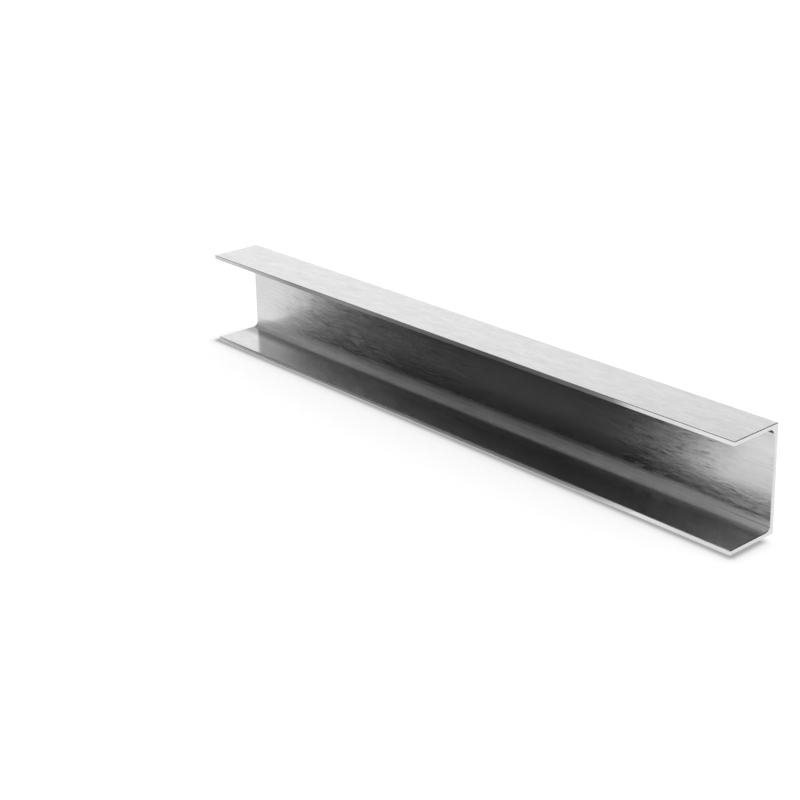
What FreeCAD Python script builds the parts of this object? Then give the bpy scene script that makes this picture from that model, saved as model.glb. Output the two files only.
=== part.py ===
import FreeCAD, Part
import math
import os

# A metal channel section, cut to length and standing on one flange.
# The length runs along X, the flanges reach from the web at +Y to their toes at -Y,
# and Z is up. The origin is under the middle of the lower flange.
# Driving dimensions, in millimetres
length = 500.0
section_height = 70.0
flange_width = 40.0
web_thickness = 3.0
flange_thickness = 3.0
root_radius = 4.5
heel_radius = 0.5
toe_radius = 0.35
toe_left = 0.03    # what the end chamfer leaves of the rounding at the toes
end_chamfer = toe_radius - toe_left


def corner(point, before, after, radius):
    """The rounding at one corner: where it starts, its middle and where it ends."""
    to_before = (before - point).normalize()
    to_after = (after - point).normalize()
    half_angle = to_before.getAngle(to_after) / 2
    reach = radius / math.tan(half_angle)
    inward = (to_before + to_after).normalize()
    middle = point + inward * (radius / math.sin(half_angle) - radius)
    return point + to_before * reach, middle, point + to_after * reach


def rounded_outline(corners):
    """A closed outline of straight runs and arcs through corners given as point and radius."""
    count = len(corners)
    roundings = []
    for index, (point, radius) in enumerate(corners):
        before = corners[index - 1][0]
        after = corners[(index + 1) % count][0]
        roundings.append(corner(point, before, after, radius))
    edges = []
    for index, (start, middle, end) in enumerate(roundings):
        next_start = roundings[(index + 1) % count][0]
        edges.append(Part.Arc(start, middle, end).toShape())
        edges.append(Part.LineSegment(end, next_start).toShape())
    return Part.Wire(edges)


def section_corners():
    """The eight corners of the section, at the far end, from the lower heel to the upper heel."""
    far_end = -length / 2
    back = flange_width / 2
    toe = back - flange_width
    web_face = back - web_thickness
    lower_face = flange_thickness
    upper_face = section_height - flange_thickness

    def at(y, z):
        return FreeCAD.Vector(far_end, y, z)

    return [
        (at(back, 0), heel_radius),
        (at(toe, 0), toe_radius),
        (at(toe, lower_face), toe_radius),
        (at(web_face, lower_face), root_radius),
        (at(web_face, upper_face), root_radius),
        (at(toe, upper_face), toe_radius),
        (at(toe, section_height), toe_radius),
        (at(back, section_height), heel_radius),
    ]


def end_edges(bar):
    """The edges round both sawn ends."""
    half_length = length / 2
    tolerance = end_chamfer / 100
    found = []
    for edge in bar.Edges:
        box = edge.BoundBox
        if box.XLength < tolerance and abs(abs(box.Center.x) - half_length) < tolerance:
            found.append(edge)
    return found


def channel():
    """The whole bar: its section drawn out along X, with the sawn ends deburred."""
    section = Part.Face(rounded_outline(section_corners()))
    bar = section.extrude(FreeCAD.Vector(length, 0, 0))
    return bar.makeChamfer(end_chamfer, end_edges(bar))


os.makedirs("parts", exist_ok=True)
pieces = {"channel": channel()}
for node, shape in pieces.items():
    shape.exportStep(f"parts/{node}.step")
    print(node, "volume", round(shape.Volume), "mm3, valid", shape.isValid(), "solids", len(shape.Solids))
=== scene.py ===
import bpy
import math
from mathutils import Matrix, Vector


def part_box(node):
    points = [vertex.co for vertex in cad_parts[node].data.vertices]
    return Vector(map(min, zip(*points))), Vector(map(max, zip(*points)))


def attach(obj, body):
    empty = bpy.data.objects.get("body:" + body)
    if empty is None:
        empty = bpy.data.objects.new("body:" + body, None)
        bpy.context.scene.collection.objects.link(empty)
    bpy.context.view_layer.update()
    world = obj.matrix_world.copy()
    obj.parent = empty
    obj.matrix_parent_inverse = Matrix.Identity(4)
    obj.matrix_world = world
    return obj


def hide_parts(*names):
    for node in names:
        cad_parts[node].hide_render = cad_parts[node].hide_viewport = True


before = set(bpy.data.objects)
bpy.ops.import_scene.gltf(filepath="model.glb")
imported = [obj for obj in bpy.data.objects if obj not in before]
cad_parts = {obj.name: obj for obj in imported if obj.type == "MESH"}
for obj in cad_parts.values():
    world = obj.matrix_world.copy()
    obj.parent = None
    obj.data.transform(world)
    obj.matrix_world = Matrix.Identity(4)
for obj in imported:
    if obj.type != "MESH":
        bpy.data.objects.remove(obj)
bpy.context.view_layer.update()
mm = 0.001
barLow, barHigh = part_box("channel")     # the bar's two corners, in metres
print("channel scene: frame loaded")


def newNode(tree, kind, **settings):
    node = tree.nodes.new(kind)
    for name, value in settings.items():
        setattr(node, name, value)
    return node


def feed(tree, socket, value):
    # a socket is linked, anything else is the input's own value
    if isinstance(value, bpy.types.NodeSocket):
        tree.links.new(value, socket)
    else:
        socket.default_value = value


def calc(tree, operation, first, second=0.0, clamp=False):
    node = newNode(tree, "ShaderNodeMath", operation=operation, use_clamp=clamp)
    feed(tree, node.inputs[0], first)
    feed(tree, node.inputs[1], second)
    return node.outputs[0]


def times(tree, total, *others):
    for value in others:
        total = calc(tree, "MULTIPLY", total, value)
    return total


def plus(tree, total, *others):
    for value in others:
        total = calc(tree, "ADD", total, value)
    return total


def spread(tree, value, low, high, toLow=0.0, toHigh=1.0):
    # maps low..high to toLow..toHigh, held at the ends
    node = newNode(tree, "ShaderNodeMapRange", clamp=True)
    for socket, item in zip(node.inputs, (value, low, high, toLow, toHigh)):
        feed(tree, socket, item)
    return node.outputs[0]


def blend(tree, share, first, second):
    # the first value where the share is 0, the second where it is 1
    return spread(tree, share, 0, 1, first, second)


def band(tree, value, start, full, fading, end):
    # rises from 0 to 1 between the first two places, and falls again between the last two
    return times(tree, spread(tree, value, start, full), spread(tree, value, fading, end, 1, 0))


def objectPlace(tree):
    return newNode(tree, "ShaderNodeTexCoord").outputs["Object"]


def axesOf(tree, place):
    split = newNode(tree, "ShaderNodeSeparateXYZ")
    feed(tree, split.inputs[0], place)
    return {axis: split.outputs[axis] for axis in "XYZ"}


# the camera, as found from the straight edges of the channel
cameraValues = {
    "place": (0.7583, -0.6985, 0.4361),
    "heading": 49.285,       # degrees from +Y towards -X
    "pitch": 17.197,         # degrees below level
    "roll": -1.335,
    "lens": 73.15,
    "sensor": 36.0,
    "imageSize": 800,
    "lensCentreRow": 260,    # the photograph's row that the lens looks straight at
    "clip": (0.01, 50),
}


def makeCamera(values):
    data = bpy.data.cameras.new("productCamera")
    data.lens = values["lens"]
    data.sensor_width = values["sensor"]
    data.shift_y = (values["lensCentreRow"] - values["imageSize"] / 2) / values["imageSize"]
    data.clip_start, data.clip_end = values["clip"]
    camera = bpy.data.objects.new("productCamera", data)
    bpy.context.collection.objects.link(camera)
    turn = (Matrix.Rotation(math.radians(values["heading"]), 4, "Z")
            @ Matrix.Rotation(math.radians(90 - values["pitch"]), 4, "X")
            @ Matrix.Rotation(math.radians(values["roll"]), 4, "Z"))
    camera.matrix_world = Matrix.Translation(values["place"]) @ turn
    bpy.context.scene.camera = camera


makeCamera(cameraValues)
print("camera set")


# the section, in millimetres; its length, height and width come from the frame
sectionValues = {
    "webWall": 3.0,
    "flangeWall": 3.0,
    "rootRadius": 4.5,
    "heelRadius": 0.5,
    "toeRadius": 0.35,
    "endBreak": 0.32,
    "arcSteps": 8,
    "stations": 41,
    "sharpFrom": 50,         # degrees: edges that turn more than this are broken
    "capFacing": 0.9,        # faces that look along the length more than this are the sawn ends
}


def sectionInputs(tree):
    tree.interface.new_socket("Geometry", in_out="INPUT", socket_type="NodeSocketGeometry")
    for name in ("Length", "Height", "Width", "Web Wall", "Flange Wall",
                 "Root Radius", "Heel Radius", "Toe Radius"):
        tree.interface.new_socket(name, in_out="INPUT", socket_type="NodeSocketFloat")
    for name in ("Arc Steps", "Stations"):
        tree.interface.new_socket(name, in_out="INPUT", socket_type="NodeSocketInt")
    for name in ("Rolled Face", "Sawn Face"):
        tree.interface.new_socket(name, in_out="INPUT", socket_type="NodeSocketMaterial")
    tree.interface.new_socket("Geometry", in_out="OUTPUT", socket_type="NodeSocketGeometry")
    return newNode(tree, "NodeGroupInput").outputs


def switchByIndex(tree, dataType, items):
    node = newNode(tree, "GeometryNodeIndexSwitch", data_type=dataType)
    while len(node.index_switch_items) < len(items):
        node.index_switch_items.new()
    index = newNode(tree, "GeometryNodeInputIndex")
    tree.links.new(index.outputs[0], node.inputs["Index"])
    for number, item in enumerate(items):
        feed(tree, node.inputs[number + 1], item)
    return node.outputs[0]


def outlineCorners(tree, size):
    # the eight corners as places and radii, from the upper heel round to the lower heel
    back = calc(tree, "MULTIPLY", size["Width"], 0.5)
    toe = calc(tree, "MULTIPLY", size["Width"], -0.5)
    webFace = calc(tree, "SUBTRACT", back, size["Web Wall"])
    top = size["Height"]
    lowerFace = size["Flange Wall"]
    upperFace = calc(tree, "SUBTRACT", top, size["Flange Wall"])
    heel, toeRound, root = size["Heel Radius"], size["Toe Radius"], size["Root Radius"]
    return [
        (back, top, heel),
        (toe, top, toeRound),
        (toe, upperFace, toeRound),
        (webFace, upperFace, root),
        (webFace, lowerFace, root),
        (toe, lowerFace, toeRound),
        (toe, 0.0, toeRound),
        (back, 0.0, heel),
    ]


def roundedOutline(tree, size):
    corners = outlineCorners(tree, size)
    places = []
    for across, up, radius in corners:
        place = newNode(tree, "ShaderNodeCombineXYZ")
        feed(tree, place.inputs["X"], across)
        feed(tree, place.inputs["Y"], up)
        places.append(place.outputs[0])
    dots = newNode(tree, "GeometryNodeMeshLine")
    dots.inputs["Count"].default_value = len(corners)
    placed = newNode(tree, "GeometryNodeSetPosition")
    tree.links.new(dots.outputs[0], placed.inputs["Geometry"])
    tree.links.new(switchByIndex(tree, "VECTOR", places), placed.inputs["Position"])
    outline = newNode(tree, "GeometryNodeMeshToCurve")
    tree.links.new(placed.outputs[0], outline.inputs["Mesh"])
    closed = newNode(tree, "GeometryNodeSetSplineCyclic")
    closed.inputs["Cyclic"].default_value = True
    tree.links.new(outline.outputs[0], closed.inputs[0])
    rounded = newNode(tree, "GeometryNodeFilletCurve", mode="POLY")
    radii = [radius for across, up, radius in corners]
    tree.links.new(closed.outputs[0], rounded.inputs["Curve"])
    tree.links.new(size["Arc Steps"], rounded.inputs["Count"])
    tree.links.new(switchByIndex(tree, "FLOAT", radii), rounded.inputs["Radius"])
    return rounded.outputs[0]


def barRun(tree, size):
    # from the far end to the near end, turned so that the outline's height is up
    run = newNode(tree, "GeometryNodeCurvePrimitiveLine")
    for socket, share in (("Start", -0.5), ("End", 0.5)):
        end = newNode(tree, "ShaderNodeCombineXYZ")
        tree.links.new(calc(tree, "MULTIPLY", size["Length"], share), end.inputs["X"])
        tree.links.new(end.outputs[0], run.inputs[socket])
    stations = newNode(tree, "GeometryNodeResampleCurve")
    tree.links.new(run.outputs[0], stations.inputs["Curve"])
    tree.links.new(size["Stations"], stations.inputs["Count"])
    upright = newNode(tree, "GeometryNodeSetCurveTilt")
    upright.inputs["Tilt"].default_value = math.pi
    tree.links.new(stations.outputs[0], upright.inputs["Curve"])
    return upright.outputs[0]


def setMaterials(tree, size, bar, capFacing):
    # the whole bar has a rolled face, and then its two caps a sawn one
    facing = axesOf(tree, newNode(tree, "GeometryNodeInputNormal").outputs[0])
    isCap = calc(tree, "GREATER_THAN", calc(tree, "ABSOLUTE", facing["X"]), capFacing)
    for name, selection in (("Rolled Face", True), ("Sawn Face", isCap)):
        dressed = newNode(tree, "GeometryNodeSetMaterial")
        tree.links.new(bar, dressed.inputs["Geometry"])
        tree.links.new(size[name], dressed.inputs["Material"])
        feed(tree, dressed.inputs["Selection"], selection)
        bar = dressed.outputs[0]
    return bar


def channelTree(capFacing):
    tree = bpy.data.node_groups.new("channelSection", "GeometryNodeTree")
    size = sectionInputs(tree)
    swept = newNode(tree, "GeometryNodeCurveToMesh")
    swept.inputs["Fill Caps"].default_value = True
    tree.links.new(barRun(tree, size), swept.inputs["Curve"])
    tree.links.new(roundedOutline(tree, size), swept.inputs["Profile Curve"])
    real = newNode(tree, "GeometryNodeRealizeInstances")
    tree.links.new(swept.outputs[0], real.inputs[0])
    dressed = setMaterials(tree, size, real.outputs[0], capFacing)
    tree.links.new(dressed, newNode(tree, "NodeGroupOutput").inputs[0])
    return tree


def makeChannel(values, rolledFace, sawnFace):
    sizes = {
        "Length": barHigh[0] - barLow[0],
        "Height": barHigh[2] - barLow[2],
        "Width": barHigh[1] - barLow[1],
        "Web Wall": values["webWall"] * mm,
        "Flange Wall": values["flangeWall"] * mm,
        "Root Radius": values["rootRadius"] * mm,
        "Heel Radius": values["heelRadius"] * mm,
        "Toe Radius": values["toeRadius"] * mm,
        "Arc Steps": values["arcSteps"],
        "Stations": values["stations"],
        "Rolled Face": rolledFace,
        "Sawn Face": sawnFace,
    }
    maker = bpy.data.objects.new("channelMaker", bpy.data.meshes.new("channelMaker"))
    bpy.context.collection.objects.link(maker)
    nodes = maker.modifiers.new("section", "NODES")
    nodes.node_group = channelTree(values["capFacing"])
    for item in nodes.node_group.interface.items_tree:
        if item.in_out == "INPUT" and item.name in sizes:
            nodes[item.identifier] = sizes[item.name]
    broken = maker.modifiers.new("endBreak", "BEVEL")
    broken.width = values["endBreak"] * mm
    broken.segments = 1
    broken.limit_method = "ANGLE"
    broken.angle_limit = math.radians(values["sharpFrom"])
    broken.use_clamp_overlap = False
    settled = maker.evaluated_get(bpy.context.evaluated_depsgraph_get())
    mesh = bpy.data.meshes.new_from_object(settled)
    bpy.data.objects.remove(maker)
    mesh.name = "channelBar"
    bar = bpy.data.objects.new("channelBar", mesh)
    bpy.context.collection.objects.link(bar)
    print("channel section drawn out:", len(mesh.vertices), "points,", len(mesh.polygons), "faces")
    return bar


def linedNoise():
    # noise drawn out by a scale of its own along each axis, from 0 to 1 round a half
    tree = bpy.data.node_groups.new("linedNoise", "ShaderNodeTree")
    tree.interface.new_socket("Vector", in_out="INPUT", socket_type="NodeSocketVector")
    tree.interface.new_socket("Scale", in_out="INPUT", socket_type="NodeSocketVector")
    for name in ("Detail", "Grain", "Contrast", "Shift"):
        tree.interface.new_socket(name, in_out="INPUT", socket_type="NodeSocketFloat")
    tree.interface.new_socket("Value", in_out="OUTPUT", socket_type="NodeSocketFloat")
    given = newNode(tree, "NodeGroupInput").outputs
    drawn = newNode(tree, "ShaderNodeVectorMath", operation="MULTIPLY")
    tree.links.new(given["Vector"], drawn.inputs[0])
    tree.links.new(given["Scale"], drawn.inputs[1])
    moved = newNode(tree, "ShaderNodeVectorMath", operation="ADD")
    tree.links.new(drawn.outputs[0], moved.inputs[0])
    tree.links.new(given["Shift"], moved.inputs[1])
    noise = newNode(tree, "ShaderNodeTexNoise", noise_dimensions="3D")
    noise.inputs["Scale"].default_value = 1
    tree.links.new(moved.outputs[0], noise.inputs["Vector"])
    tree.links.new(given["Detail"], noise.inputs["Detail"])
    tree.links.new(given["Grain"], noise.inputs["Roughness"])
    centred = calc(tree, "MULTIPLY", calc(tree, "SUBTRACT", noise.outputs["Fac"], 0.5), given["Contrast"])
    held = calc(tree, "ADD", centred, 0.5, clamp=True)
    tree.links.new(held, newNode(tree, "NodeGroupOutput").inputs[0])
    return tree


def lines(tree, group, place, size, detail, grain, contrast, shift):
    # size: how long a mark is along X, Y and Z, in millimetres
    node = newNode(tree, "ShaderNodeGroup", node_tree=group)
    feed(tree, node.inputs["Vector"], place)
    node.inputs["Scale"].default_value = [1 / (edge * mm) for edge in size]
    for name, value in (("Detail", detail), ("Grain", grain), ("Contrast", contrast), ("Shift", shift)):
        node.inputs[name].default_value = value
    return node.outputs[0]


def bareMaterial(name):
    material = bpy.data.materials.new(name)
    material.use_nodes = True
    material.node_tree.nodes.clear()
    return material, material.node_tree


def metalMaterial(name):
    material, tree = bareMaterial(name)
    shader = newNode(tree, "ShaderNodeBsdfPrincipled")
    shader.inputs["Metallic"].default_value = 1
    tree.links.new(shader.outputs[0], newNode(tree, "ShaderNodeOutputMaterial").inputs["Surface"])
    return material, tree, shader


def mixColours(tree, share, dark, light):
    mix = newNode(tree, "ShaderNodeMix", data_type="RGBA")
    tree.links.new(share, mix.inputs["Factor"])
    mix.inputs[6].default_value = dark      # the colour mix has its two colours here
    mix.inputs[7].default_value = light
    return mix.outputs[2]


def bumpFrom(tree, shader, height):
    # height is in millimetres
    bump = newNode(tree, "ShaderNodeBump")
    bump.inputs["Strength"].default_value = 1
    bump.inputs["Distance"].default_value = mm
    tree.links.new(height, bump.inputs["Height"])
    tree.links.new(bump.outputs[0], shader.inputs["Normal"])


# mill finish: fine drawing lines, longer streaks and soft blotches, all running with the length; with
# painted light and shade at the lower inside corner, beside it and high on the web
# places along X, Y and Z are in metres, each pair as from and to
# of two tones, the first is for the far end or the lower part, the second for the near end or the upper part
rolledValues = {
    "dark": (0.70, 0.70, 0.70, 1),
    "light": (0.90, 0.90, 0.90, 1),
    # each kind of mark: its size along X, Y and Z in mm, then detail, grain, contrast and shift
    "fine": ((70, 0.6, 0.6), 3.0, 0.6, 2.4, 0.0),
    "streak": ((16, 1.1, 1.1), 3.0, 0.6, 2.6, 3.1),
    "blotch": ((24, 7, 7), 4.0, 0.6, 2.2, 7.3),
    "smudge": ((10, 1.1, 1.1), 3.0, 0.6, 2.2, 11.9),
    "cloud": ((10, 6, 6), 4.0, 0.65, 2.4, 17.1),
    "dieLine": ((4000, 1.6, 1.6), 2.0, 0.6, 2.6, 1.7),
    "waver": ((40, 40, 9), 2.0, 0.6, 1.6, 5.7),
    "waverBy": 0.006,            # the streaks wander by up to half of this
    # tone, roughness and height of the marks
    "toneShares": {"fine": 0.25, "streak": 0.35, "blotch": 0.4},
    "roughShares": {"streak": 0.65, "blotch": 0.35},
    "roughOver": (0.2, 0.8),
    "roughness": (0.12, 0.32),   # the web's, from its smoothest to its roughest streaks
    "flangeRoughness": 0.19,
    "fineHeight": 0.003,         # heights in mm
    "wideHeights": {"streak": 0.02, "blotch": 0.045},
    "onFlanges": (0.01, 0.12),   # how much of the wide marks the lower and the upper flange have
    "flangesMeet": (0.030, 0.040),
    # where along X the web is marked most, and low on the web also up to the near end
    "wornBands": ((-0.225, -0.175, -0.14, 0.03), (0.125, 0.155, 0.195, 0.23)),
    "wornLowAlong": (0.15, 0.20),
    "wornLowUnder": (0.018, 0.028),
    "wornLeast": 0.18,
    # the web: a plain tone low down and painted light high up, with scattered smudges, streaks and clouds
    "webBaseAndTopLight": (0.90, 1.05),
    "webBaseAndTopLightHeights": (0.048, 0.064),
    "smudgeTone": 0.55,
    "smudgeOver": (0.54, 0.82),
    "smudgeWithin": (0.35, 0.6),     # only where the blotches are at least this light
    "smudgeAtFarEnd": 0.5,
    "smudgeAlong": (-0.12, 0.05),
    "streakTone": 0.36,
    "cloudTone": 0.24,
    "flangeCloudTone": 0.10,
    # a broken dark line above the lower inside corner
    "stain": 0.32,
    "stainHeights": (0.0140, 0.0128),
    "stainAlong": (0.10, 0.20),
    "stainWidth": 0.0024,
    "stainStarts": (0.05, 0.12),
    "stainWeakens": (0.19, 0.24),
    "stainAtNearEnd": 0.8,
    "stainBroken": (0.35, 0.65),
    "stainLeast": 0.35,
    # the lower inside corner is duller, painted lighter as a sheen of caught light, and lined by the die
    "rootFrom": 3.5,             # mm from the flange and the web
    "rootTo": (9.5, 7.5),
    "rootAlong": (0.15, 0.22),
    "rootNarrower": 1.3,         # it reaches less far on the flange than on the web
    "rootRoughness": 0.5,
    "rootSheen": (0.24, 0.10),
    "rootSheenAlong": (0.1, 0.22),
    "dieLineTone": 0.5,
    "dieLineHeight": 0.02,
    "drawnLines": [(0.0052, -0.22), (0.0066, 0.18)],    # height and tone of the two plainest lines
    "drawnWidth": 0.0008,
    "drawnAlong": (0.19, 0.23),
    # the flange is darker next to that corner: painted shade
    "besidePaintedShade": (0.48, 0.28),
    "besideAlong": (0.215, 0.24),
    "besideBand": (0.004, 0.007, 0.010, 0.017),
    "toeRoughness": 0.65,        # added on the rounded edge of the lower toe
    # the masks' own limits
    "planeSlack": 0.0002,
    "flangeSkin": 0.0006,
    "webFade": (0.0005, 0.002),
    "toeBlur": 0.0001,
}


def toeMask(tree, here, values):
    # the rounded upper edge of the lower flange's toe
    rounding, top = sectionValues["toeRadius"] * mm, sectionValues["flangeWall"] * mm
    across, up, blur = barLow[1] + rounding, top - rounding, values["toeBlur"]
    atToe = spread(tree, here["Y"], across - blur, across + blur, 1, 0)
    atTop = spread(tree, here["Z"], up - blur, up + blur)
    return times(tree, atToe, atTop, calc(tree, "LESS_THAN", here["Z"], 2 * top))


def addSectionMasks(tree, here, values):
    # the web's inner face, the lower inside corner, the flange beside it and the lower toe's edge
    wall = sectionValues["webWall"] * mm
    fromWeb = calc(tree, "SUBTRACT", barHigh[1] - wall, here["Y"])
    fromFlange = calc(tree, "SUBTRACT", here["Z"], sectionValues["flangeWall"] * mm)
    inside = times(tree, calc(tree, "GREATER_THAN", fromFlange, -values["planeSlack"]),
                   calc(tree, "GREATER_THAN", fromWeb, -values["planeSlack"]))
    away = calc(tree, "MAXIMUM", fromFlange, calc(tree, "MULTIPLY", fromWeb, values["rootNarrower"]))
    rootTo = spread(tree, here["X"], *values["rootAlong"], *[reach * mm for reach in values["rootTo"]])
    here["root"] = times(tree, inside, spread(tree, away, values["rootFrom"] * mm, rootTo, 1, 0))
    halfHeight = (barHigh[2] - barLow[2]) / 2
    fromMiddle = calc(tree, "ABSOLUTE", calc(tree, "SUBTRACT", here["Z"], halfHeight))
    between = calc(tree, "LESS_THAN", fromMiddle, halfHeight - wall / 2)
    inFront = calc(tree, "GREATER_THAN", fromWeb, -wall / 2)
    here["web"] = times(tree, between, inFront, spread(tree, fromWeb, *values["webFade"], 1, 0))
    here["onWeb"] = times(tree, here["web"], calc(tree, "SUBTRACT", 1, here["root"]))
    onFlange = calc(tree, "LESS_THAN", fromFlange, values["flangeSkin"])
    here["beside"] = times(tree, inside, onFlange, band(tree, fromWeb, *values["besideBand"]))
    here["toe"] = toeMask(tree, here, values)


def addWorn(tree, here, values):
    # how marked the web is: most of all in two bands along it
    bands = [band(tree, here["X"], *limits) for limits in values["wornBands"]]
    lowBand = times(tree, spread(tree, here["X"], *values["wornLowAlong"]),
                    spread(tree, here["Z"], *values["wornLowUnder"], 1, 0))
    here["wornMost"] = calc(tree, "MAXIMUM", plus(tree, *bands), lowBand)
    here["worn"] = blend(tree, here["wornMost"], values["wornLeast"], 1)


def addMarks(tree, group, place, here, values):
    wander = newNode(tree, "ShaderNodeCombineXYZ")
    waver = lines(tree, group, place, *values["waver"])
    tree.links.new(calc(tree, "MULTIPLY", waver, values["waverBy"]), wander.inputs["Z"])
    moved = newNode(tree, "ShaderNodeVectorMath", operation="ADD")
    tree.links.new(place, moved.inputs[0])
    tree.links.new(wander.outputs[0], moved.inputs[1])
    wandered = moved.outputs[0]
    here["wanderedZ"] = axesOf(tree, wandered)["Z"]
    for name in ("fine", "blotch", "dieLine"):
        here[name] = lines(tree, group, place, *values[name])
    for name in ("streak", "smudge", "cloud"):
        here[name] = lines(tree, group, wandered, *values[name])


def sumOf(tree, here, shares):
    return plus(tree, *[calc(tree, "MULTIPLY", here[name], share) for name, share in shares.items()])


def smudgeShade(tree, here, values):
    marked = times(tree, spread(tree, here["smudge"], *values["smudgeOver"]),
                   spread(tree, here["blotch"], *values["smudgeWithin"]))
    along = spread(tree, here["X"], *values["smudgeAlong"], values["smudgeAtFarEnd"], 1)
    lost = times(tree, marked, values["smudgeTone"], here["onWeb"], here["worn"], along)
    return calc(tree, "SUBTRACT", 1, lost)


def streakShade(tree, here, values):
    # streaks and clouds on the web, and fainter clouds on everything else
    streak = calc(tree, "SUBTRACT", here["streak"], 0.5)
    cloud = calc(tree, "SUBTRACT", here["cloud"], 0.5)
    both = plus(tree, times(tree, streak, values["streakTone"]), times(tree, cloud, values["cloudTone"]))
    onWeb = times(tree, both, here["onWeb"], here["wornMost"])
    elsewhere = times(tree, calc(tree, "SUBTRACT", 1, here["web"]), values["flangeCloudTone"], cloud)
    return plus(tree, onWeb, 1, elsewhere)


def rootShade(tree, here, values):
    half = values["dieLineTone"] / 2
    # the corner's lighter band is a painted sheen
    tone = spread(tree, here["X"], *values["rootSheenAlong"], *values["rootSheen"])
    lined = plus(tree, blend(tree, here["dieLine"], -half, half), tone)
    nearEnd = spread(tree, here["X"], *values["drawnAlong"])
    for height, amount in values["drawnLines"]:
        away = calc(tree, "ABSOLUTE", calc(tree, "SUBTRACT", here["Z"], height))
        onLine = spread(tree, away, 0, values["drawnWidth"], amount, 0)
        lined = plus(tree, lined, times(tree, onLine, nearEnd))
    return plus(tree, times(tree, lined, here["root"]), 1)


def stainShade(tree, here, values):
    height = spread(tree, here["X"], *values["stainAlong"], *values["stainHeights"])
    level = calc(tree, "SUBTRACT", here["wanderedZ"], values["waverBy"] / 2)
    away = calc(tree, "ABSOLUTE", calc(tree, "SUBTRACT", level, height))
    onLine = spread(tree, away, 0, values["stainWidth"], 1, 0)
    reach = times(tree, spread(tree, here["X"], *values["stainStarts"]),
                  spread(tree, here["X"], *values["stainWeakens"], 1, values["stainAtNearEnd"]))
    broken = spread(tree, here["smudge"], *values["stainBroken"], values["stainLeast"], 1)
    stained = times(tree, onLine, here["web"], reach, broken, values["stain"])
    return calc(tree, "SUBTRACT", 1, stained)


def rolledColour(tree, here, values):
    # painted light: the web is lighter towards its top
    webBaseAndTopLight = spread(tree, here["Z"], *values["webBaseAndTopLightHeights"], *values["webBaseAndTopLight"])
    # painted shade on the flange beside the inside corner
    besidePaintedShades = [1 - share for share in values["besidePaintedShade"]]
    besidePaintedShade = spread(tree, here["X"], *values["besideAlong"], *besidePaintedShades)
    shade = times(tree, smudgeShade(tree, here, values), blend(tree, here["web"], 1, webBaseAndTopLight),
                  rootShade(tree, here, values), streakShade(tree, here, values),
                  blend(tree, here["beside"], 1, besidePaintedShade), stainShade(tree, here, values))
    toned = newNode(tree, "ShaderNodeVectorMath", operation="SCALE")
    plain = mixColours(tree, sumOf(tree, here, values["toneShares"]), values["dark"], values["light"])
    tree.links.new(plain, toned.inputs[0])
    tree.links.new(shade, toned.inputs["Scale"])
    return toned.outputs[0]


def rolledRoughness(tree, here, values):
    smooth, rough = values["roughness"]
    middle = (smooth + rough) / 2
    patchy = sumOf(tree, here, values["roughShares"])
    varied = spread(tree, patchy, *values["roughOver"], smooth - middle, rough - middle)
    onWall = plus(tree, times(tree, varied, here["worn"]), middle)
    ground = blend(tree, here["onWeb"], values["flangeRoughness"], onWall)
    added = sumOf(tree, here, {"root": values["rootRoughness"], "toe": values["toeRoughness"]})
    return plus(tree, ground, added)


def rolledHeight(tree, here, values):
    onFlanges = spread(tree, here["Z"], *values["flangesMeet"], *values["onFlanges"])
    share = blend(tree, here["onWeb"], onFlanges, here["worn"])
    wide = times(tree, sumOf(tree, here, values["wideHeights"]), share)
    fine = times(tree, here["fine"], values["fineHeight"])
    return plus(tree, fine, wide, times(tree, here["dieLine"], here["root"], values["dieLineHeight"]))


def makeRolledFace(values, group):
    # here holds what is known at each place of the face: its axes, its masks and its marks
    material, tree, shader = metalMaterial("rolledFace")
    place = objectPlace(tree)
    here = axesOf(tree, place)
    addSectionMasks(tree, here, values)
    addWorn(tree, here, values)
    addMarks(tree, group, place, here, values)
    tree.links.new(rolledColour(tree, here, values), shader.inputs["Base Color"])
    tree.links.new(rolledRoughness(tree, here, values), shader.inputs["Roughness"])
    bumpFrom(tree, shader, rolledHeight(tree, here, values))
    return material


# the ends, cut square with a fine saw
sawnValues = {
    "dark": (0.77, 0.77, 0.77, 1),
    "light": (0.82, 0.82, 0.82, 1),
    "roughness": 0.45,
    "sawMark": ((5, 30, 0.35), 3.0, 0.6, 2.4, 0.0),
    "sawAngle": 68,              # degrees
    "sawHeight": 0.006,
}


def makeSawnFace(values, group):
    material, tree, shader = metalMaterial("sawnFace")
    tilted = newNode(tree, "ShaderNodeVectorRotate", rotation_type="X_AXIS")
    tree.links.new(objectPlace(tree), tilted.inputs["Vector"])
    tilted.inputs["Angle"].default_value = math.radians(values["sawAngle"])
    marks = lines(tree, group, tilted.outputs[0], *values["sawMark"])
    tree.links.new(mixColours(tree, marks, values["dark"], values["light"]), shader.inputs["Base Color"])
    shader.inputs["Roughness"].default_value = values["roughness"]
    bumpFrom(tree, shader, calc(tree, "MULTIPLY", marks, values["sawHeight"]))
    return material


# the small slanted faces round both ends: most of them get a darker copy of the metal and make a dark line,
# partly their real reflection and partly painted shade
brokenEdgeValues = {
    "colour": (0.38, 0.38, 0.38, 1),
    "roughness": 0.10,
    "slant": (0.1, 0.99),        # how far a slanted face looks along the length
    # a dark face looks no further towards the open side than this, in the toe's half and in the web's half
    "openFacing": (-0.5, -0.66),
    "downFacing": -0.3,          # and no further down than this
}


def makeBrokenEdge(values):
    material, _, shader = metalMaterial("brokenEdge")
    shader.inputs["Base Color"].default_value = values["colour"]
    shader.inputs["Roughness"].default_value = values["roughness"]
    return material


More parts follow.
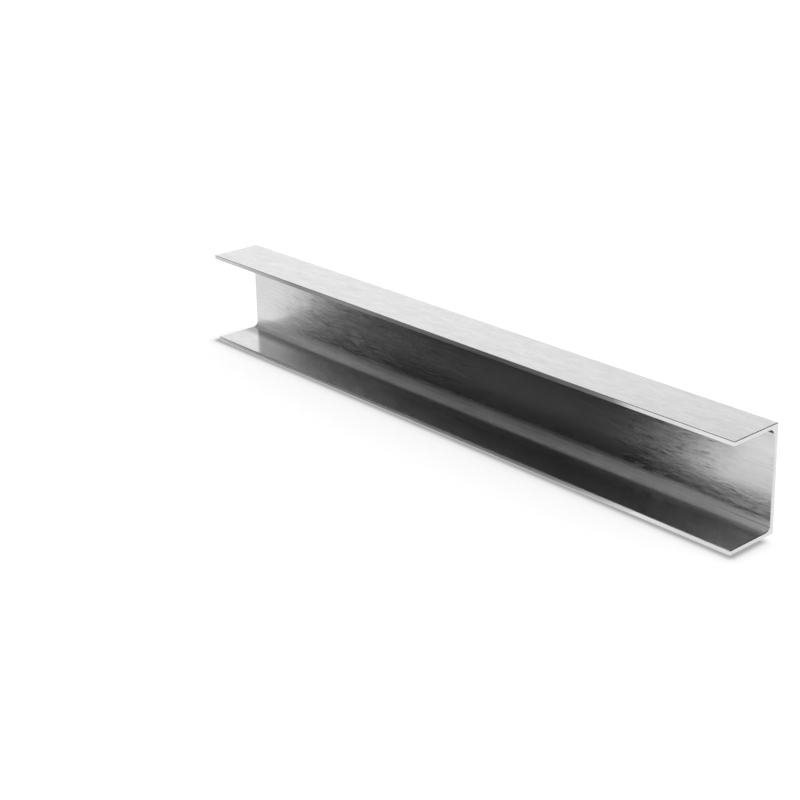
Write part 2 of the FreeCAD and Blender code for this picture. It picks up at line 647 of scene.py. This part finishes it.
def finishEnds(bar, values):
    # the slanted faces are flat, with a crisp edge on each side
    mesh = bar.data
    mesh.materials.append(makeBrokenEdge(values))
    darkEdge = len(mesh.materials) - 1
    least, most = values["slant"]
    toeHalf, webHalf = values["openFacing"]
    flatSides = {}
    for face in mesh.polygons:
        slanted = least < abs(face.normal.x) < most
        openFacing = webHalf if face.center.y > 0 else toeHalf
        # faces that look neither to the open side nor down get the darker copy: painted shade
        if slanted and face.normal.y > openFacing and face.normal.z > values["downFacing"]:
            face.material_index = darkEdge
        for edge in face.edge_keys:
            flatSides.setdefault(edge, set()).add(slanted)
    for edge in mesh.edges:
        edge.use_edge_sharp = len(flatSides[edge.key]) == 2
    facing = bar.modifiers.new("flatFaces", "WEIGHTED_NORMAL")
    facing.keep_sharp = True


marksGroup = linedNoise()
rolledFace = makeRolledFace(rolledValues, marksGroup)
sawnFace = makeSawnFace(sawnValues, marksGroup)
bar = makeChannel(sectionValues, rolledFace, sawnFace)
finishEnds(bar, brokenEdgeValues)
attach(bar, "root")
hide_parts("channel")
print("channel made")


def rampOf(tree, stops, value):
    ramp = newNode(tree, "ShaderNodeValToRGB")
    while len(ramp.color_ramp.elements) < len(stops):
        ramp.color_ramp.elements.new(0.5)
    for element, (place, grey) in zip(ramp.color_ramp.elements, stops):
        element.position = place
        element.color = (grey, grey, grey, 1)
    tree.links.new(value, ramp.inputs[0])
    return ramp.outputs[0]


def makeSheet(name, corners, material):
    mesh = bpy.data.meshes.new(name)
    mesh.from_pydata(corners, [], [(0, 1, 2, 3)])
    mesh.materials.append(material)
    sheet = bpy.data.objects.new(name, mesh)
    bpy.context.collection.objects.link(sheet)
    return sheet


floorValues = {
    "half": 4.0,                 # half the floor's width, in metres
    "colour": 0.9,
    "shadeShare": 0.35,          # how much of the floor's real shading the camera sees
    "lift": 0.715,               # light of its own, which makes the open floor white to the camera
    # the dark line along the foot of the bar: millimetres from it, and how much of the light is left there
    "footShade": [(0, 0.40), (1, 0.405), (2, 0.445), (3, 0.585), (4, 0.71), (5, 0.85), (6, 0.90), (8, 0.95),
                  (10, 0.98), (13, 1.0)],
    "footInMetal": 0.12,         # the metal sees that line only this strongly, as a power of it
    # past the near end light from behind comes in beside the heel, and the line stops short of it
    "endFade": 0.015,
    "heelFrom": (0.0065, 0.0125),
    "heelLift": 0.15,
    "heelLiftFrom": (0.010, 0.022),
    # how bright the metal sees the floor, and less so in a strip before the near half of the bar, which is
    # painted shade
    "inMetal": 0.97,
    "stripInMetal": 0.80,
    "strip": (-0.08, -0.045, -0.03, -0.024),
    "stripAlong": (0, 0.1),
}


def footLight(tree, axes, values):
    # the light that is left on the floor round the bar's foot
    squares = []
    for axis, half in zip("XY", barHigh):
        past = calc(tree, "MAXIMUM", calc(tree, "SUBTRACT", calc(tree, "ABSOLUTE", axes[axis]), half), 0)
        squares.append(calc(tree, "MULTIPLY", past, past))
    fromFoot = calc(tree, "SQRT", plus(tree, *squares))
    reach = values["footShade"][-1][0]
    stops = [(distance / reach, left) for distance, left in values["footShade"]]
    return rampOf(tree, stops, spread(tree, fromFoot, 0, reach * mm))


def floorMaterial(values):
    material, tree = bareMaterial("studioFloor")
    path = newNode(tree, "ShaderNodeLightPath").outputs
    camera, mirrored = path["Is Camera Ray"], path["Is Glossy Ray"]
    axes = axesOf(tree, objectPlace(tree))
    pastEnd = spread(tree, axes["X"], barHigh[0] - values["endFade"], barHigh[0])
    atHeel = times(tree, spread(tree, axes["Y"], *values["heelFrom"]), pastEnd)
    openness = blend(tree, atHeel, footLight(tree, axes, values), 1)
    # the camera sees part real shading and part plain white, both darkened along the foot of the bar
    shaded = plus(tree, times(tree, openness, camera, values["shadeShare"]),
                  times(tree, calc(tree, "SUBTRACT", 1, camera), values["colour"]))
    unmirrored = times(tree, shaded, calc(tree, "SUBTRACT", 1, mirrored))
    grey = newNode(tree, "ShaderNodeCombineColor")
    for socket in grey.inputs[:3]:
        tree.links.new(unmirrored, socket)
    matt = newNode(tree, "ShaderNodeBsdfDiffuse")
    tree.links.new(grey.outputs[0], matt.inputs["Color"])
    behind = times(tree, spread(tree, axes["Y"], *values["heelLiftFrom"]), pastEnd)
    forCamera = plus(tree, times(tree, camera, values["lift"], openness),
                     times(tree, behind, camera, values["heelLift"]))
    # the metal sees the floor white, with painted shade in a strip before the near half of the bar and
    # faintly along its foot
    inStrip = times(tree, band(tree, axes["Y"], *values["strip"]),
                    spread(tree, axes["X"], *values["stripAlong"]))
    forMetal = times(tree, mirrored, blend(tree, inStrip, values["inMetal"], values["stripInMetal"]),
                     calc(tree, "POWER", openness, values["footInMetal"]))
    glow = newNode(tree, "ShaderNodeEmission")
    tree.links.new(plus(tree, forCamera, forMetal), glow.inputs["Strength"])
    both = newNode(tree, "ShaderNodeAddShader")
    tree.links.new(matt.outputs[0], both.inputs[0])
    tree.links.new(glow.outputs[0], both.inputs[1])
    tree.links.new(both.outputs[0], newNode(tree, "ShaderNodeOutputMaterial").inputs["Surface"])
    return material


def makeFloor(values):
    half = values["half"]
    corners = [(-half, -half, 0), (half, -half, 0), (half, half, 0), (-half, half, 0)]
    makeSheet("floor", corners, floorMaterial(values))


# cards that only the metal sees, in metres, painting the shade and light it mirrors: a dark one stands in
# front of the bar, another lies before it
cardValues = {
    "left": -0.31,
    "right": 0.175,
    "standsAt": -0.050,
    "height": 0.078,
    "stepAt": 0.031,             # past its right end the standing card leaves the floor open
    "stepTo": 0.32,
    "lowTo": -0.0205,
    "lowLift": 0.0002,
    # brightness along the low card, from the left end to the right end
    "low": [(0.03, 0.95), (0.08, 0.7), (0.13, 0.3), (0.18, 0.16), (0.28, 0.08), (0.42, 0.05), (0.78, 0.045),
            (0.84, 0.07), (0.885, 0.13), (0.928, 0.28), (0.965, 0.53), (1.0, 0.74)],
    "slant": 0.8,                # the near edge of the dark slants across the low card by this much
    "slantAlong": (0, 0.05),
    "toePower": 0.5,             # next to the lower toe the low card is lighter
    "toeFrom": (-0.026, -0.023),
    # brightness along the standing card, high on it and in its middle; its foot has the low card's
    "high": [(0.0, 0.50), (0.03, 0.26), (0.08, 0.12), (0.18, 0.06), (0.42, 0.01), (0.70, 0.005),
             (0.83, 0.015), (0.9, 0.04), (0.95, 0.075), (1.0, 0.11)],
    "highFrom": (0.029, 0.034),
    "middle": [(0.85, 0.015), (0.90, 0.11), (0.944, 0.30), (0.977, 0.36), (1.0, 0.40)],
    "middleFrom": (0.016, 0.006),    # the heights where the middle starts, far from and near to the near end
    "middleAlong": (-0.2, -0.1),
    "middleFade": 0.012,
    # past the far end the dark hangs higher, over a bright strip
    "farTo": -0.45,
    "farHeights": (0.018, 0.046),
    "farGlow": 0.9,
    # a narrow card close to the upper toe, with its own brightness along it
    "stripAt": -0.025,
    "stripFrom": -0.3,
    "stripTo": 0.27,
    "stripHeights": (0.062, 0.069),
    "strip": [(-0.24, 0.73), (-0.20, 0.54), (-0.15, 0.30), (-0.10, 0.29), (-0.05, 0.18), (0.0, 0.136),
              (0.05, 0.09), (0.10, 0.133), (0.13, 0.163), (0.155, 0.26), (0.172, 0.83), (0.245, 0.97)],
}


def glowOnly(name):
    material, tree = bareMaterial(name)
    glow = newNode(tree, "ShaderNodeEmission")
    tree.links.new(glow.outputs[0], newNode(tree, "ShaderNodeOutputMaterial").inputs["Surface"])
    return material, tree, glow.inputs["Strength"]


def cardMaterial(values):
    material, tree, strength = glowOnly("darkCard")
    axes = axesOf(tree, objectPlace(tree))
    ends = values["left"], values["right"]
    fromMiddle = calc(tree, "SUBTRACT", axes["Y"], (values["standsAt"] + values["lowTo"]) / 2)
    slanted = times(tree, fromMiddle, values["slant"], spread(tree, axes["X"], *values["slantAlong"]))
    lowAlong = spread(tree, calc(tree, "SUBTRACT", axes["X"], slanted), *ends)
    low = rampOf(tree, values["low"], lowAlong)
    atToe = spread(tree, axes["Y"], *values["toeFrom"])
    low = blend(tree, atToe, low, calc(tree, "POWER", low, values["toePower"]))
    along = spread(tree, axes["X"], *ends)
    high = rampOf(tree, values["high"], along)
    middle = calc(tree, "MAXIMUM", rampOf(tree, values["middle"], along), high)
    upper = blend(tree, spread(tree, axes["Z"], *values["highFrom"]), middle, high)
    startsAt = spread(tree, axes["X"], *values["middleAlong"], *values["middleFrom"])
    raised = spread(tree, calc(tree, "SUBTRACT", axes["Z"], startsAt), 0, values["middleFade"])
    tree.links.new(blend(tree, raised, low, upper), strength)
    return material


def stripMaterial(values):
    material, tree, strength = glowOnly("toeStrip")
    first, last = values["strip"][0][0], values["strip"][-1][0]
    stops = [((x - first) / (last - first), grey) for x, grey in values["strip"]]
    along = spread(tree, axesOf(tree, objectPlace(tree))["X"], first, last)
    tree.links.new(rampOf(tree, stops, along), strength)
    return material


def plainGlow(name, brightness):
    material, _, strength = glowOnly(name)
    strength.default_value = brightness
    return material


def makeCard(name, corners, material):
    card = makeSheet(name, corners, material)
    card.visible_camera = False
    card.visible_diffuse = False
    card.visible_shadow = False
    card.visible_transmission = False
    card.visible_volume_scatter = False


def standingCard(name, left, right, at, low, high, material):
    makeCard(name, [(left, at, low), (right, at, low), (right, at, high), (left, at, high)], material)


def makeCards(values):
    left, right, at, top = values["left"], values["right"], values["standsAt"], values["height"]
    # the cards are painted reflections: dark sheets where the metal should mirror shade, glowing strips
    # where it should mirror light
    dark = cardMaterial(values)
    standingCard("darkCard", left, right, at, 0, top, dark)
    standingCard("raisedCard", right, values["stepTo"], at, values["stepAt"], top, dark)
    low, high = values["farHeights"]
    standingCard("farCard", values["farTo"], left, at, high, top, dark)
    standingCard("farStrip", values["farTo"], left, at, low, high, plainGlow("farGlow", values["farGlow"]))
    lift, to = values["lowLift"], values["lowTo"]
    makeCard("lowCard", [(left, at, lift), (right, at, lift), (right, to, lift), (left, to, lift)], dark)
    low, high = values["stripHeights"]
    strip = stripMaterial(values)
    standingCard("toeStrip", values["stripFrom"], values["stripTo"], values["stripAt"], low, high, strip)


# the room: white to the camera and to matt surfaces, and what the metal mirrors
worldValues = {
    "roomLight": 1.0,
    # brightness of the mirrored room by how steeply it is looked at, from level to straight up
    "sky": [(0.0, 1.0), (0.34, 1.0), (0.40, 0.94), (0.47, 0.5), (0.51, 0.08), (0.56, 0.02), (0.85, 0.02),
            (0.95, 0.45), (1.0, 0.5)],
    "frontShare": 0.46,          # the room in front of the bar is darker than the one behind
    "frontTo": (-0.45, 0.1),
    "sideLight": 2.0,            # from high on the front right, caught only by the rough parts
    "sideRight": (0.0, 0.3),
    "sideFront": (0.0, -0.3),
    "sideUp": (0.4, 0.6),
}


def background(tree, strength):
    node = newNode(tree, "ShaderNodeBackground")
    node.inputs["Color"].default_value = (1, 1, 1, 1)
    feed(tree, node.inputs["Strength"], strength)
    return node.outputs[0]


def chosenBy(tree, ray, other, chosen):
    mix = newNode(tree, "ShaderNodeMixShader")
    for socket, value in zip(mix.inputs, (ray, other, chosen)):
        tree.links.new(value, socket)
    return mix.outputs[0]


def makeWorld(values):
    world = bpy.data.worlds.new("studio")
    bpy.context.scene.world = world
    world.use_nodes = True
    tree = world.node_tree
    tree.nodes.clear()
    axes = axesOf(tree, newNode(tree, "ShaderNodeTexCoord").outputs["Generated"])
    front = spread(tree, axes["Y"], *values["frontTo"], values["frontShare"], 1.0)
    sky = times(tree, rampOf(tree, values["sky"], axes["Z"]), front)
    side = times(tree, spread(tree, axes["X"], *values["sideRight"]),
                 spread(tree, axes["Y"], *values["sideFront"]),
                 spread(tree, axes["Z"], *values["sideUp"], 0, values["sideLight"]))
    path = newNode(tree, "ShaderNodeLightPath").outputs
    reflected = background(tree, plus(tree, sky, side))
    forMetal = chosenBy(tree, path["Is Glossy Ray"], background(tree, values["roomLight"]), reflected)
    forCamera = chosenBy(tree, path["Is Camera Ray"], forMetal, background(tree, 1.0))
    tree.links.new(forCamera, newNode(tree, "ShaderNodeOutputWorld").inputs["Surface"])


makeFloor(floorValues)
makeCards(cardValues)
makeWorld(worldValues)
bpy.context.scene.view_settings.view_transform = "Standard"
print("studio set")
